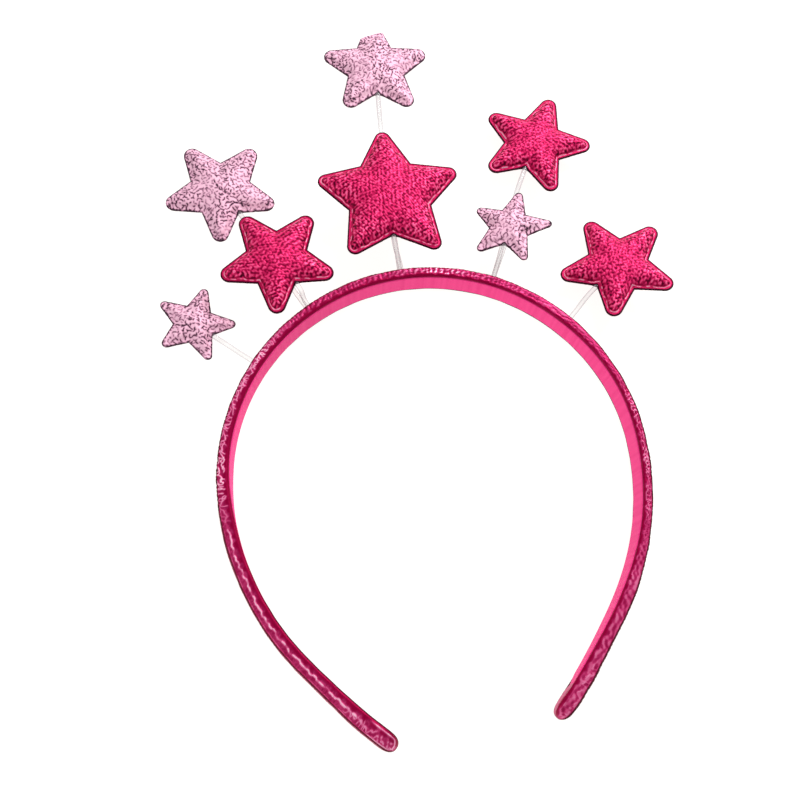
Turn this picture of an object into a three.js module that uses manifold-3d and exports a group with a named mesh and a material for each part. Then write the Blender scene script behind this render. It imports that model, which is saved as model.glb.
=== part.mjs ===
// A star headband lying on its side: a fabric-wrapped hoop with padded stars on clear rods.
// Millimetres. +X runs across the hoop, +Y out of its crown, +Z up from the surface it lies on.
// The origin is the middle of the hoop's lower edge at the crown.
import * as THREE from "three";
import { mergeVertices } from "three/addons/utils/BufferGeometryUtils.js";
import Module from "manifold-3d";

// Clearance between neighbouring pieces, and the distance under which two points are one
const GAP = 0.3;
const SAME_POINT = 1e-4;

// The hoop: its width stands upright here
const BAND = { width: 11, edgeRound: 1.05, tipLength: 6, sectionStep: 5.6 };

// The hoop's thickness at distances from the crown: it grows down the legs and at the gathered tips
const THICKNESS = [
  { at: 46.5, is: 3.4 },
  { at: 150, is: 4 },
  { at: 172, is: 4.6 },
];

// The corners of the hoop's section: which side of its middle each lies on, and where its round starts
const CORNERS = [
  { out: 1, up: -1, from: -90 },
  { out: 1, up: 1, from: 0 },
  { out: -1, up: 1, from: 90 },
  { out: -1, up: -1, from: 180 },
];
const CORNER_STEPS = [0, 45, 90];

// The most that a corner's round may take of a thin section's width or thickness
const ROUNDEST = 0.45;

// Half of the hoop's middle line, from the crown to one tip, as arcs that follow on smoothly
const HOOP_ARCS = [
  { radius: 59.6, length: 93 },
  { radius: 77, length: 52.7 },
  { radius: 550, length: 16 },
  { radius: 110, length: 16.5 },
];

// Shrinking of the tip's outline, as shares of tipLength, down to a blunt end
const TIP_STEPS = [0.35, 0.62, 0.82, 0.95];

// The ribbon inside the hoop: it lies in a recess of the cover and stands a little proud of it
const LINING = { width: 9, thickness: 1, proud: 0.2, endBeforeTip: 4.6 };

// The clear rods, and the sockets that hold them in the hoop
const STEM = { radius: 0.75, sides: 8, stepLength: 3.4, socketDepth: 1.2, straight: 1.2, bend: 0.4 };
const SOCKET_SIDES = 12;

// Star sizes: point is where the two edges of an arm would meet if its tip were not rounded
const STAR_SIZES = {
  large: { point: 25, notch: 13.2, tipRound: 2.5, crown: 4.7 },
  medium: { point: 21.7, notch: 9.6, tipRound: 2.7, crown: 3.9 },
  small: { point: 13.9, notch: 6.3, tipRound: 1.4, crown: 3 },
};

// Each star face: a flat welded rim round a padded crown
const RIM = { width: 1, thickness: 1.2 };
const ARMS = 5;
const NOTCH_ROUND = 0.5;
const SHARPEST_TIP = 0.25;
const TIP_POINTS = 4;
const PAD_STEPS = [0.07, 0.26, 0.56];
const PAD_FULL_AT = 0.78;
const STEM_STOPS_AT = 0.4;

// The block that takes off an arm's end where it is turned under
const FOLD_BLOCK = 30;

const ROSE = 0xc73667;
const BLUSH = 0xd8a4b8;

// The stars, placed round the middle of the hoop's crown arc. Angles are in degrees, from the crown
// towards -X: angle and reach place the star's centre, axis is where its far arm points, leanX and leanY
// tip its face, and the rod leaves the hoop at rootAngle and rootHeight. One star has the end of its far
// arm turned under, along a fold that passes the star's middle at fold.reach and slants.
const STARS = [
  {
    name: "crown_low", size: "large", colour: ROSE, rootAngle: 0.5, rootHeight: 7.6,
    angle: 0.7, reach: 84.6, height: 11.5, axis: -2.3, leanX: -1.5, leanY: 2.9,
  },
  {
    name: "crown_high", size: "medium", colour: BLUSH, rootAngle: 0.5, rootHeight: 3,
    angle: -0.7, reach: 133.2, height: 5.4, axis: -3.9, leanX: -3, leanY: 3.4,
    fold: { reach: 11.2, slant: 17 },
  },
  {
    name: "left_low", size: "medium", colour: ROSE, rootAngle: 28.5, rootHeight: 7.6,
    angle: 28.3, reach: 77.9, height: 11.2, axis: 30.1, leanX: -2.8, leanY: 1.7,
  },
  {
    name: "left_high", size: "medium", colour: BLUSH, rootAngle: 28.5, rootHeight: 3,
    angle: 28.2, reach: 109.5, height: 5.2, axis: 30.6, leanX: -1.8, leanY: 4.8,
  },
  {
    name: "left_side", size: "small", colour: BLUSH, rootAngle: 50, rootHeight: 5.5,
    angle: 49.8, reach: 83.1, height: 6, axis: 52.3, leanX: -3.4, leanY: 13.8,
  },
  {
    name: "right_low", size: "small", colour: BLUSH, rootAngle: -25.5, rootHeight: 7.6,
    angle: -25.7, reach: 78, height: 10.4, axis: -25, leanX: -7.3, leanY: -6,
  },
  {
    name: "right_high", size: "medium", colour: ROSE, rootAngle: -25.5, rootHeight: 3,
    angle: -25.5, reach: 110.4, height: 5.2, axis: -28.4, leanX: -5.8, leanY: 0,
  },
  {
    name: "right_side", size: "medium", colour: ROSE, rootAngle: -49.5, rootHeight: 5.5,
    angle: -49.7, reach: 85.4, height: 6, axis: -53.3, leanX: -7.7, leanY: -5.5,
  },
];

const MATERIALS = {
  cover: new THREE.MeshStandardMaterial({ color: 0xb02a5c, roughness: 0.4, metalness: 0.3 }),
  lining: new THREE.MeshStandardMaterial({ color: 0xef5589, roughness: 0.55, metalness: 0 }),
  stem: new THREE.MeshStandardMaterial({
    color: 0xf4f4f4,
    roughness: 0.1,
    metalness: 0,
    transparent: true,
    opacity: 0.35,
  }),
};

const wasm = await Module();
wasm.setup();

const radians = THREE.MathUtils.degToRad;
const HALF_LENGTH = HOOP_ARCS.reduce((sum, arc) => sum + arc.length, 0);
const HOOP_CENTRE = new THREE.Vector2(0, -HOOP_ARCS[0].radius);

// A closed geometry as a solid that can be cut
function solidOf(geometry) {
  const bare = new THREE.BufferGeometry();
  bare.setAttribute("position", geometry.getAttribute("position"));
  bare.setIndex(geometry.index);
  const merged = mergeVertices(bare, SAME_POINT);
  const mesh = new wasm.Mesh({
    numProp: 3,
    vertProperties: merged.attributes.position.array,
    triVerts: new Uint32Array(merged.index.array),
  });
  return new wasm.Manifold(mesh);
}

function geometryOf(solid) {
  const mesh = solid.getMesh();
  const geometry = new THREE.BufferGeometry();
  geometry.setAttribute("position", new THREE.BufferAttribute(mesh.vertProperties, mesh.numProp));
  geometry.setIndex(new THREE.BufferAttribute(mesh.triVerts, 1));
  geometry.computeVertexNormals();
  return geometry;
}

function cutAway(geometry, cutters) {
  const start = solidOf(geometry);
  const left = cutters.reduce((solid, cutter) => solid.subtract(solidOf(cutter)), start);
  return geometryOf(left);
}

// A closed skin through rings of equal count, each turning anticlockwise as seen from the next,
// closed by a fan of triangles to a point at either end
function skinned(rings, startPoint, endPoint) {
  const count = rings[0].length;
  const points = [...rings.flat(), startPoint, endPoint];
  const start = points.length - 2;
  const end = points.length - 1;
  const index = [];
  for (let j = 0; j < count; j += 1) {
    const next = (j + 1) % count;
    const top = (rings.length - 1) * count;
    index.push(start, next, j);
    index.push(end, top + j, top + next);
    for (let base = 0; base < top; base += count) {
      index.push(base + j, base + next, base + count + next);
      index.push(base + j, base + count + next, base + count + j);
    }
  }
  const geometry = new THREE.BufferGeometry().setFromPoints(points);
  geometry.setIndex(index);
  geometry.computeVertexNormals();
  return geometry;
}

function centreOf(ring) {
  const sum = ring.reduce((total, point) => total.add(point), new THREE.Vector3());
  return sum.divideScalar(ring.length);
}

function namedMesh(name, geometry, material) {
  const mesh = new THREE.Mesh(geometry, material);
  mesh.name = name;
  return mesh;
}

// The hoop's middle line at a signed distance from the crown, +X side positive, with its outward normal
function hoopAt(distance) {
  const side = Math.sign(distance) || 1;
  let left = Math.abs(distance);
  let turned = 0;
  const point = new THREE.Vector2();
  for (const arc of HOOP_ARCS) {
    const run = Math.min(left, arc.length);
    const turn = run / arc.radius;
    point.x += arc.radius * (Math.sin(turned + turn) - Math.sin(turned));
    point.y += arc.radius * (Math.cos(turned + turn) - Math.cos(turned));
    turned += turn;
    left -= run;
  }
  const normal = new THREE.Vector2(side * Math.sin(turned), Math.cos(turned));
  point.x *= side;
  return { point, normal };
}

// A point beside the hoop's middle line: out along its normal, and up
function besideHoop(distance, out, up) {
  const { point, normal } = hoopAt(distance);
  return new THREE.Vector3(point.x + normal.x * out, point.y + normal.y * out, up);
}

function bandThickness(distance) {
  let thickness = THICKNESS[0].is;
  for (let i = 1; i < THICKNESS.length; i += 1) {
    const share = THREE.MathUtils.smoothstep(Math.abs(distance), THICKNESS[i - 1].at, THICKNESS[i].at);
    thickness += (THICKNESS[i].is - THICKNESS[i - 1].is) * share;
  }
  return thickness;
}

// Distances along the hoop with one step centred on the crown, so that it has a flat facet there
function stations(reach) {
  const count = 2 * Math.round(reach / BAND.sectionStep) + 1;
  return Array.from({ length: count + 1 }, (_, i) => reach * ((2 * i) / count - 1));
}

// A rounded rectangle across the hoop, centred on its middle line and half way up its width
function bandSection(distance, thickness, width) {
  const round = Math.min(BAND.edgeRound, ROUNDEST * thickness, ROUNDEST * width);
  const middle = BAND.width / 2;
  const ring = [];
  for (const corner of CORNERS) {
    for (const step of CORNER_STEPS) {
      const angle = radians(corner.from + step);
      const out = corner.out * (thickness / 2 - round) + round * Math.cos(angle);
      const up = middle + corner.up * (width / 2 - round) + round * Math.sin(angle);
      ring.push(besideHoop(distance, out, up));
    }
  }
  return ring;
}

// The ribbon's section, or with a margin that of the recess it lies in
function liningSection(distance, margin) {
  const inner = -bandThickness(distance) / 2 - LINING.proud - margin;
  const outer = -bandThickness(distance) / 2 - LINING.proud + LINING.thickness + margin;
  const low = (BAND.width - LINING.width) / 2 - margin;
  const high = (BAND.width + LINING.width) / 2 + margin;
  return [[outer, low], [outer, high], [inner, high], [inner, low]].map(
    ([out, up]) => besideHoop(distance, out, up),
  );
}

function liningGeometry(margin) {
  const reach = HALF_LENGTH - LINING.endBeforeTip;
  const inside = stations(reach).slice(1, -1);
  const along = [-reach - margin, ...inside, reach + margin];
  const rings = along.map((distance) => liningSection(distance, margin));
  return skinned(rings, centreOf(rings[0]), centreOf(rings.at(-1)));
}

// The hoop before it is cut: a round-edged band whose tips close like a tongue
function bandGeometry() {
  const straightReach = HALF_LENGTH - BAND.tipLength;
  const tipSection = (side, share) => {
    const distance = straightReach + share * BAND.tipLength;
    const across = Math.sqrt(1 - share * share);
    const through = Math.sqrt(1 - share ** 4);
    return bandSection(side * distance, bandThickness(distance) * through, BAND.width * across);
  };
  const fullSection = (distance) => bandSection(distance, bandThickness(distance), BAND.width);
  const rings = [
    ...TIP_STEPS.toReversed().map((share) => tipSection(-1, share)),
    ...stations(straightReach).map(fullSection),
    ...TIP_STEPS.map((share) => tipSection(1, share)),
  ];
  const end = (side) => besideHoop(side * HALF_LENGTH, 0, BAND.width / 2);
  return skinned(rings, end(-1), end(1));
}

// A straight round rod between two points
function rod(from, to, radius, sides) {
  const along = new THREE.Vector3().subVectors(to, from);
  const geometry = new THREE.CylinderGeometry(radius, radius, along.length(), sides);
  const cylinderWay = new THREE.Vector3(0, 1, 0);
  const way = along.clone().normalize();
  geometry.applyQuaternion(new THREE.Quaternion().setFromUnitVectors(cylinderWay, way));
  geometry.translate(...new THREE.Vector3().lerpVectors(from, to, 0.5).toArray());
  return geometry;
}

// Where a star's rod leaves the hoop: the point on the outer face, and the way out
function rootOf(star) {
  const distance = -HOOP_ARCS[0].radius * radians(star.rootAngle);
  const { normal } = hoopAt(distance);
  const mouth = besideHoop(distance, bandThickness(distance) / 2, star.rootHeight);
  return { mouth, out: new THREE.Vector3(normal.x, normal.y, 0) };
}

function socketCutter(star) {
  const { mouth, out } = rootOf(star);
  const bottom = mouth.clone().addScaledVector(out, -STEM.socketDepth);
  const beyond = mouth.clone().addScaledVector(out, STEM.socketDepth);
  return rod(bottom, beyond, STEM.radius + GAP, SOCKET_SIDES);
}

// The angles and the edge distance that follow from a star's point and notch
function starFigures({ point, notch }) {
  const halfTurn = Math.PI / ARMS;
  const tipAngle = Math.atan2(notch * Math.sin(halfTurn), point - notch * Math.cos(halfTurn));
  const notchAngle = halfTurn + tipAngle;
  return { halfTurn, tipAngle, notchAngle, edgeDistance: point * Math.sin(tipAngle) };
}

function onCircle(radius, angle) {
  return new THREE.Vector2(radius * Math.cos(angle), radius * Math.sin(angle));
}

// A star's outline moved inwards by inset: all its edges lie at one distance from the centre, so the
// straight edges shrink in proportion, while tip rounds tighten and notch rounds open
function starRing(size, inset, height) {
  const { halfTurn, tipAngle, notchAngle, edgeDistance } = starFigures(size);
  const share = 1 - inset / edgeDistance;
  const tipRound = Math.max(size.tipRound - inset, SHARPEST_TIP);
  const notchRound = (NOTCH_ROUND + inset) * share;
  const ring = [];
  for (let arm = 0; arm < ARMS; arm += 1) {
    const tipWay = Math.PI / 2 + 2 * halfTurn * arm;
    const tipCentre = onCircle(size.point * share - tipRound / Math.sin(tipAngle), tipWay);
    const sweep = Math.PI / 2 - tipAngle;
    for (let i = 0; i < TIP_POINTS; i += 1) {
      const angle = tipWay + sweep * ((2 * i) / (TIP_POINTS - 1) - 1);
      ring.push(onCircle(tipRound, angle).add(tipCentre));
    }
    const notchWay = tipWay + halfTurn;
    const notchCentre = onCircle(size.notch * share + notchRound / Math.sin(notchAngle), notchWay);
    for (const side of [1, -1]) {
      const angle = notchWay + Math.PI + side * (Math.PI / 2 - notchAngle);
      ring.push(onCircle(notchRound, angle).add(notchCentre));
    }
  }
  return ring.map(({ x, y }) => new THREE.Vector3(x, y, height));
}

// What lies beyond the fold of an arm that is turned under
function beyondFold({ reach, slant }) {
  const block = new THREE.BoxGeometry(FOLD_BLOCK, FOLD_BLOCK, FOLD_BLOCK);
  block.translate(0, reach + FOLD_BLOCK / 2, 0);
  return block.rotateZ(radians(slant));
}

// One face of a star: flat behind, a flat rim in front, and a crown that swells like a stuffed pad
function starFaceGeometry(size, folds) {
  const back = GAP / 2;
  const full = PAD_FULL_AT * starFigures(size).edgeDistance;
  const padRing = (share) => {
    const swell = Math.sqrt(1 - (1 - share) ** 2);
    const height = THREE.MathUtils.lerp(RIM.thickness, size.crown, swell);
    return starRing(size, THREE.MathUtils.lerp(RIM.width, full, share), height);
  };
  const rings = [
    starRing(size, 0, back),
    starRing(size, 0, RIM.thickness),
    starRing(size, RIM.width, RIM.thickness),
    ...PAD_STEPS.map(padRing),
  ];
  const whole = skinned(rings, new THREE.Vector3(0, 0, back), new THREE.Vector3(0, 0, size.crown));
  const grooveEnd = new THREE.Vector3(0, -STEM_STOPS_AT * size.notch + GAP, 0);
  const grooveMouth = new THREE.Vector3(0, -size.point, 0);
  const groove = rod(grooveMouth, grooveEnd, STEM.radius + GAP, SOCKET_SIDES);
  return cutAway(whole, [groove, ...folds.map(beyondFold)]);
}

// A star at its place: its two faces stand back to back, so that a fold slants the other way on the back
function starGroup(star) {
  const size = STAR_SIZES[star.size];
  const material = new THREE.MeshStandardMaterial({ color: star.colour, roughness: 0.5, metalness: 0.2 });
  const frontFolds = star.fold ? [star.fold] : [];
  const backFolds = frontFolds.map(({ reach, slant }) => ({ reach, slant: -slant }));
  const front = namedMesh(`star_${star.name}_front`, starFaceGeometry(size, frontFolds), material);
  const back = namedMesh(`star_${star.name}_back`, starFaceGeometry(size, backFolds), material);
  back.rotation.y = Math.PI;
  const group = new THREE.Group();
  group.add(front, back);
  const place = onCircle(star.reach, Math.PI / 2 + radians(star.angle)).add(HOOP_CENTRE);
  group.position.set(place.x, place.y, star.height);
  group.rotation.set(radians(star.leanX), radians(star.leanY), radians(star.axis));
  group.updateMatrixWorld(true);
  return group;
}

// A rod: straight out of its socket, one easy bend, and straight in between the star's faces
function stemGeometry(star, group) {
  const size = STAR_SIZES[star.size];
  const { mouth, out } = rootOf(star);
  const bottom = mouth.clone().addScaledVector(out, GAP - STEM.socketDepth);
  const leaves = mouth.clone().addScaledVector(out, STEM.straight);
  const enters = group.localToWorld(new THREE.Vector3(0, -size.notch - STEM.straight, 0));
  const stops = group.localToWorld(new THREE.Vector3(0, -STEM_STOPS_AT * size.notch, 0));
  const into = new THREE.Vector3().subVectors(stops, enters).normalize();
  const pull = STEM.bend * leaves.distanceTo(enters);
  const path = new THREE.CurvePath();
  path.add(new THREE.LineCurve3(bottom, leaves));
  path.add(
    new THREE.CubicBezierCurve3(
      leaves,
      leaves.clone().addScaledVector(out, pull),
      enters.clone().addScaledVector(into, -pull),
      enters,
    ),
  );
  path.add(new THREE.LineCurve3(enters, stops));
  const turn = (2 * Math.PI) / STEM.sides;
  const corners = Array.from({ length: STEM.sides }, (_, i) => onCircle(STEM.radius, i * turn));
  const steps = Math.ceil(path.getLength() / STEM.stepLength);
  return new THREE.ExtrudeGeometry(new THREE.Shape(corners), { steps, extrudePath: path });
}

const headband = new THREE.Group();
const recessAndSockets = [liningGeometry(GAP), ...STARS.map(socketCutter)];
headband.add(namedMesh("band_cover", cutAway(bandGeometry(), recessAndSockets), MATERIALS.cover));
headband.add(namedMesh("band_lining", liningGeometry(0), MATERIALS.lining));
for (const star of STARS) {
  const group = starGroup(star);
  headband.add(group);
  headband.add(namedMesh(`stem_${star.name}`, stemGeometry(star, group), MATERIALS.stem));
}

export default headband;
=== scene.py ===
# %% [markdown]
# # Dressing a star headband
# The headband is a plastic hoop wrapped in crumpled foil cloth, with a satin ribbon glued inside it and
# padded foil stars standing off its crown on clear rods. The measured solids are loaded first and never
# moved: each step below makes one finish or one piece that takes the place of a plain solid.

# %% Load the measured solids
import math

import bpy
import numpy as np
from mathutils import Matrix, Quaternion, Vector
from mathutils.geometry import delaunay_2d_cdt
from mathutils.kdtree import KDTree


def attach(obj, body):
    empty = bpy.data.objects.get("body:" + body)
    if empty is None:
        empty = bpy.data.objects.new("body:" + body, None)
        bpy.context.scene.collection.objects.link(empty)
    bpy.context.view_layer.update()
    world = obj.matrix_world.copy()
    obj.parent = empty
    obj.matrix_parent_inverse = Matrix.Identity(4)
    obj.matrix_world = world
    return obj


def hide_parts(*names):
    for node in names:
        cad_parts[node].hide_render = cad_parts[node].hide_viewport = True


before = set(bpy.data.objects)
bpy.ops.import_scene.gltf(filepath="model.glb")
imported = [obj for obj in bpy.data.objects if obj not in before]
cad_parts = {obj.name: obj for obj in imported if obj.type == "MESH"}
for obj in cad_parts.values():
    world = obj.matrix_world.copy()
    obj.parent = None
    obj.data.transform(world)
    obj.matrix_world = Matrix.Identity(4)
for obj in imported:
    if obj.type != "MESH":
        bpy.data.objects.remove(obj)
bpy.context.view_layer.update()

MM = 0.001
print("solids:", len(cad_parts))

# %% [markdown]
# ## The camera
# The picture was taken from close by, looking down on the hoop as it lies, a little from its open side.
# A camera can be typed in as a location and three angles, but it is easier to check as a point that it
# looks at, a direction, a distance and a roll, so those are the named values here.

# %% Place the camera
CAMERA_AIM = (-6.57, -37.19, 5.5)
CAMERA_AZIMUTH = -13.72
CAMERA_ELEVATION = 74.42
CAMERA_ROLL = 5.63
CAMERA_DISTANCE = 291.7
CAMERA_LENS = 45

azimuth = math.radians(CAMERA_AZIMUTH)
elevation = math.radians(CAMERA_ELEVATION)
towards_camera = Vector((
    math.sin(azimuth) * math.cos(elevation),
    -math.cos(azimuth) * math.cos(elevation),
    math.sin(elevation),
))
camera = bpy.data.objects.new("camera", bpy.data.cameras.new("camera"))
camera.data.lens = CAMERA_LENS
camera.data.clip_start = 0.01
camera.location = (Vector(CAMERA_AIM) + towards_camera * CAMERA_DISTANCE) * MM
camera.rotation_mode = "QUATERNION"
level_turn = (-towards_camera).to_track_quat("-Z", "Y")
camera.rotation_quaternion = level_turn @ Quaternion((0, 0, 1), math.radians(CAMERA_ROLL))
bpy.context.scene.collection.objects.link(camera)
bpy.context.scene.camera = camera
print("camera at", [round(c / MM, 1) for c in camera.location], "mm")

# %% [markdown]
# ## Colours and shader nodes
# Colours are written as they look on a screen, as sRGB hex values, and Blender wants them linear, so one
# function turns them. A second one adds a shader node with its settings, its ramp and its links, which
# keeps each material below as short as its list of nodes.

# %% Two helpers for materials
def linear(hex_colour):
    """An sRGB hex colour as linear red, green, blue and alpha; two more digits give the alpha."""
    red, green, blue, alpha = [int((hex_colour + "ff")[i:i + 2], 16) / 255 for i in (1, 3, 5, 7)]
    curved = [c / 12.92 if c <= 0.04045 else ((c + 0.055) / 1.055) ** 2.4 for c in (red, green, blue)]
    return (*curved, alpha)


def add_node(material, kind, settings=None, inputs=None, ramp=None):
    """Adds a shader node. An input is a value or another node's output; a ramp is (place, colour) stops."""
    node = material.node_tree.nodes.new(kind)
    for name, value in (settings or {}).items():
        setattr(node, name, value)
    for name, value in (inputs or {}).items():
        if isinstance(value, bpy.types.NodeSocket):
            material.node_tree.links.new(value, node.inputs[name])
        else:
            node.inputs[name].default_value = value
    for i, (place, colour) in enumerate(ramp or []):
        stops = node.color_ramp.elements
        stop = stops[i] if i < 2 else stops.new(place)
        stop.position = place
        stop.color = linear(colour)
    return node


def new_material(name):
    material = bpy.data.materials.new(name)
    material.use_nodes = True
    material.node_tree.nodes.clear()
    return material


print("pure red in linear light:", linear("#ff0000"))

# %% [markdown]
# ## Floor and light
# Small goods are photographed on a light table, a white sheet that is lit from below, so that hardly a shadow
# shows. The floor here glows for the same reason, and scatters little of the other light. Soft light comes
# from all round, and one strong lamp stands up and to the right, so that the pads have a bright and a dark
# side and the foil has something to glint with.

# %% Make the floor, the sky and the lamps
FLOOR_SIZE = 16000
FLOOR_GLOW = 0.93
SKY_STRENGTH = 0.47
LAMPS = [
    {"name": "key", "at": (300, 330, 400), "size": 300, "watts": 4.2},
    {"name": "fill", "at": (-430, -320, 200), "size": 300, "watts": 1.0},
]

floor_paint = new_material("frosted_light_table")
floor_shader = add_node(floor_paint, "ShaderNodeBsdfPrincipled", inputs={
    "Base Color": linear("#8c8c8a"),
    "Roughness": 0.9,
    "Emission Color": linear("#fffffb"),
    "Emission Strength": FLOOR_GLOW,
})
add_node(floor_paint, "ShaderNodeOutputMaterial", inputs={"Surface": floor_shader.outputs["BSDF"]})
half_floor = FLOOR_SIZE * MM / 2
floor_corners = [(x * half_floor, y * half_floor, 0) for x, y in ((-1, -1), (1, -1), (1, 1), (-1, 1))]
floor_mesh = bpy.data.meshes.new("floor")
floor_mesh.from_pydata(floor_corners, [], [(0, 1, 2, 3)])
floor_mesh.materials.append(floor_paint)
floor = bpy.data.objects.new("floor", floor_mesh)
bpy.context.scene.collection.objects.link(floor)

sky = bpy.data.worlds.new("light_tent")
sky.use_nodes = True
sky.node_tree.nodes["Background"].inputs["Color"].default_value = linear("#fffefc")
sky.node_tree.nodes["Background"].inputs["Strength"].default_value = SKY_STRENGTH
bpy.context.scene.world = sky
for row in LAMPS:
    lamp = bpy.data.lights.new(row["name"], "AREA")
    lamp.size = row["size"] * MM
    lamp.energy = row["watts"]
    holder = bpy.data.objects.new(row["name"], lamp)
    holder.location = Vector(row["at"]) * MM
    holder.rotation_mode = "QUATERNION"
    holder.rotation_quaternion = (Vector(CAMERA_AIM) - Vector(row["at"])).to_track_quat("-Z", "Y")
    bpy.context.scene.collection.objects.link(holder)
bpy.context.scene.view_settings.view_transform = "Standard"
print("lamps:", [row["name"] for row in LAMPS])

# %% [markdown]
# ## Crumpled foil cloth, as a height field
# The cloth is a thin knit with a foil film on it that was crumpled and pressed, so it is covered in short
# worm-like ridges about a millimetre apart. Noise textures give blobs of many sizes. Adding up plane waves
# that all have nearly the same length, but run in random directions, gives ridges of one width instead.
# The heights move the mesh itself and are kept on it, so that a material can darken the valleys.

# %% The wormy height field
RIDGE_SPACING = 0.95
WAVES = 36
WAVE_SPREAD = (0.66, 1.5)
TEST_PATCH = 50
TEST_POINTS = 4000


def plane_waves(spacing, seed, heading=0, fan=180):
    """Ways and phases of random waves about spacing mm long, that run within fan degrees of heading."""
    draw = np.random.default_rng(seed)
    angle = np.radians(heading + fan * draw.uniform(-1, 1, WAVES))
    phase = draw.uniform(0, 2 * np.pi, WAVES)
    pace = 2 * np.pi / (spacing * draw.uniform(*WAVE_SPREAD, WAVES))
    return np.stack([np.cos(angle) * pace, np.sin(angle) * pace]), phase


def crumple(points, spacing, seed, firmness=1.4, heading=0, fan=180):
    """Heights from -1 to 1 at flat points in mm, with ridges that lie about spacing apart. A narrow fan
    gives ridges that all lie nearly one way, across heading."""
    ways, phase = plane_waves(spacing, seed, heading, fan)
    total = np.cos(points @ ways + phase).sum(axis=1) / np.sqrt(WAVES / 2)
    return np.tanh(firmness * total)


def stripe(off, half_width):
    """1 where off is nought, fading out about twice half_width away from there."""
    return np.exp(-((off / half_width) ** 2))


def creases(points, spacing, seed, half_width):
    """Thin wandering lines about spacing apart, 1 along them and 0 between them: the places where waves twice
    as long add up to nought. Their height over their slope is how far away such a line is."""
    ways, phase = plane_waves(2 * spacing, seed)
    height = np.cos(points @ ways + phase).sum(axis=1)
    slope = np.sin(points @ ways + phase) @ ways.T
    away = np.abs(height) / np.linalg.norm(slope, axis=1)
    return stripe(away, half_width)


test_points = np.random.default_rng(1).uniform(0, TEST_PATCH, (TEST_POINTS, 2))
sample = creases(test_points, RIDGE_SPACING, seed=2, half_width=0.2)
print("creased share of a test patch:", round(float((sample > 0.5).mean()), 2))


# %% [markdown]
# ## Meshes from arrays
# Pieces with tens of thousands of faces are quickest to make straight from arrays of points and faces.
# This helper also gives the piece its material and its number fields, hangs it on the root body, and hides
# the solids that it stands for.

# %% A piece from arrays
def make_piece(name, points, faces, material, stands_for, fields=None):
    """A smooth-shaded piece from points in mm; fields are named numbers for each point."""
    mesh = bpy.data.meshes.new(name)
    mesh.from_pydata((np.asarray(points) * MM).tolist(), [], faces)
    mesh.polygons.foreach_set("use_smooth", np.ones(len(mesh.polygons), bool))
    for field, values in (fields or {}).items():
        attribute = mesh.attributes.new(field, "FLOAT", "POINT")
        attribute.data.foreach_set("value", np.asarray(values, np.float32))
    mesh.materials.append(material)
    mesh.validate()
    piece = bpy.data.objects.new(name, mesh)
    bpy.context.scene.collection.objects.link(piece)
    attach(piece, "root")
    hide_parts(*stands_for)
    print(name, "has", len(mesh.vertices), "points and", len(mesh.polygons), "faces")
    return piece


def grid_faces(rows, columns):
    """Faces of a grid whose columns close on themselves, with one face to close either end."""
    row = np.arange(rows - 1)[:, None] * columns
    here = np.arange(columns)[None, :]
    after = (here + 1) % columns
    corners = [row + here, row + after, row + columns + after, row + columns + here]
    sides = np.stack(corners, axis=-1).reshape(-1, 4).tolist()
    last = (rows - 1) * columns
    return [*sides, list(reversed(range(columns))), list(range(last, last + columns))]


# %% [markdown]
# ## Foil cloth for the stars and the hoop
# The three foil cloths differ in colour and in gloss. Foil film on cloth reflects partly like a tinted metal,
# so metallic is well above nothing and the glints have the cloth's own tint. Each mesh also carries a number
# called tone. It holds the cloth's own marks together with painted shade in folds, recesses and along edges,
# and painted highlights on creases. 0 is the darkest painted shade and 1 the palest painted highlight, and a
# ramp turns it into the cloth's colours.

# %% Three foil cloths
GRIT_SIZE = 0.45


def foil_cloth(name, tones, metallic, roughness, glint):
    """Crumpled foil cloth, whose tones run from painted shade in its folds to painted highlights on its
    creases.
    """
    material = new_material(name)
    tone = add_node(material, "ShaderNodeAttribute", {"attribute_name": "tone"})
    colour = add_node(material, "ShaderNodeValToRGB", inputs={"Fac": tone.outputs["Fac"]}, ramp=tones)
    place = add_node(material, "ShaderNodeTexCoord")
    grit = add_node(material, "ShaderNodeTexVoronoi", inputs={
        "Vector": place.outputs["Object"],
        "Scale": 1 / (GRIT_SIZE * MM),
    })
    bump = add_node(material, "ShaderNodeBump", inputs={
        "Strength": 0.3,
        "Distance": 0.04 * MM,
        "Height": grit.outputs["Distance"],
    })
    shader = add_node(material, "ShaderNodeBsdfPrincipled", inputs={
        "Base Color": colour.outputs["Color"],
        "Metallic": metallic,
        "Roughness": roughness,
        "IOR": 1.5,
        "Specular IOR Level": 0.2,
        "Specular Tint": linear(glint),
        "Normal": bump.outputs["Normal"],
    })
    add_node(material, "ShaderNodeOutputMaterial", inputs={"Surface": shader.outputs["BSDF"]})
    return material


rose_foil = foil_cloth(
    "rose_crumpled_foil_cloth",
    tones=[(0.0, "#2e0014"), (1.0, "#fbc4d8"), (0.2, "#800030"), (0.45, "#bc1450"), (0.7, "#ea3a76"),
           (0.82, "#f66a9c")],
    metallic=0.3,
    roughness=0.48,
    glint="#f090b4",
)
blush_foil = foil_cloth(
    "blush_crumpled_foil_cloth",
    tones=[(0.0, "#301c2a"), (1.0, "#f8dce8"), (0.2, "#6a4558"), (0.45, "#c893ac"), (0.68, "#e6b4ca")],
    metallic=0.1,
    roughness=0.55,
    glint="#f6cade",
)
hoop_foil = foil_cloth(
    "magenta_crumpled_foil_cloth",
    tones=[(0.0, "#16000a"), (1.0, "#fcd0e0"), (0.07, "#600022"), (0.16, "#98003a"), (0.34, "#941448"),
           (0.54, "#c0346c"), (0.76, "#e480aa")],
    metallic=0.3,
    roughness=0.42,
    glint="#e080a8",
)
print("foil cloths:", [m.name for m in (rose_foil, blush_foil, hoop_foil)])

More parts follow.
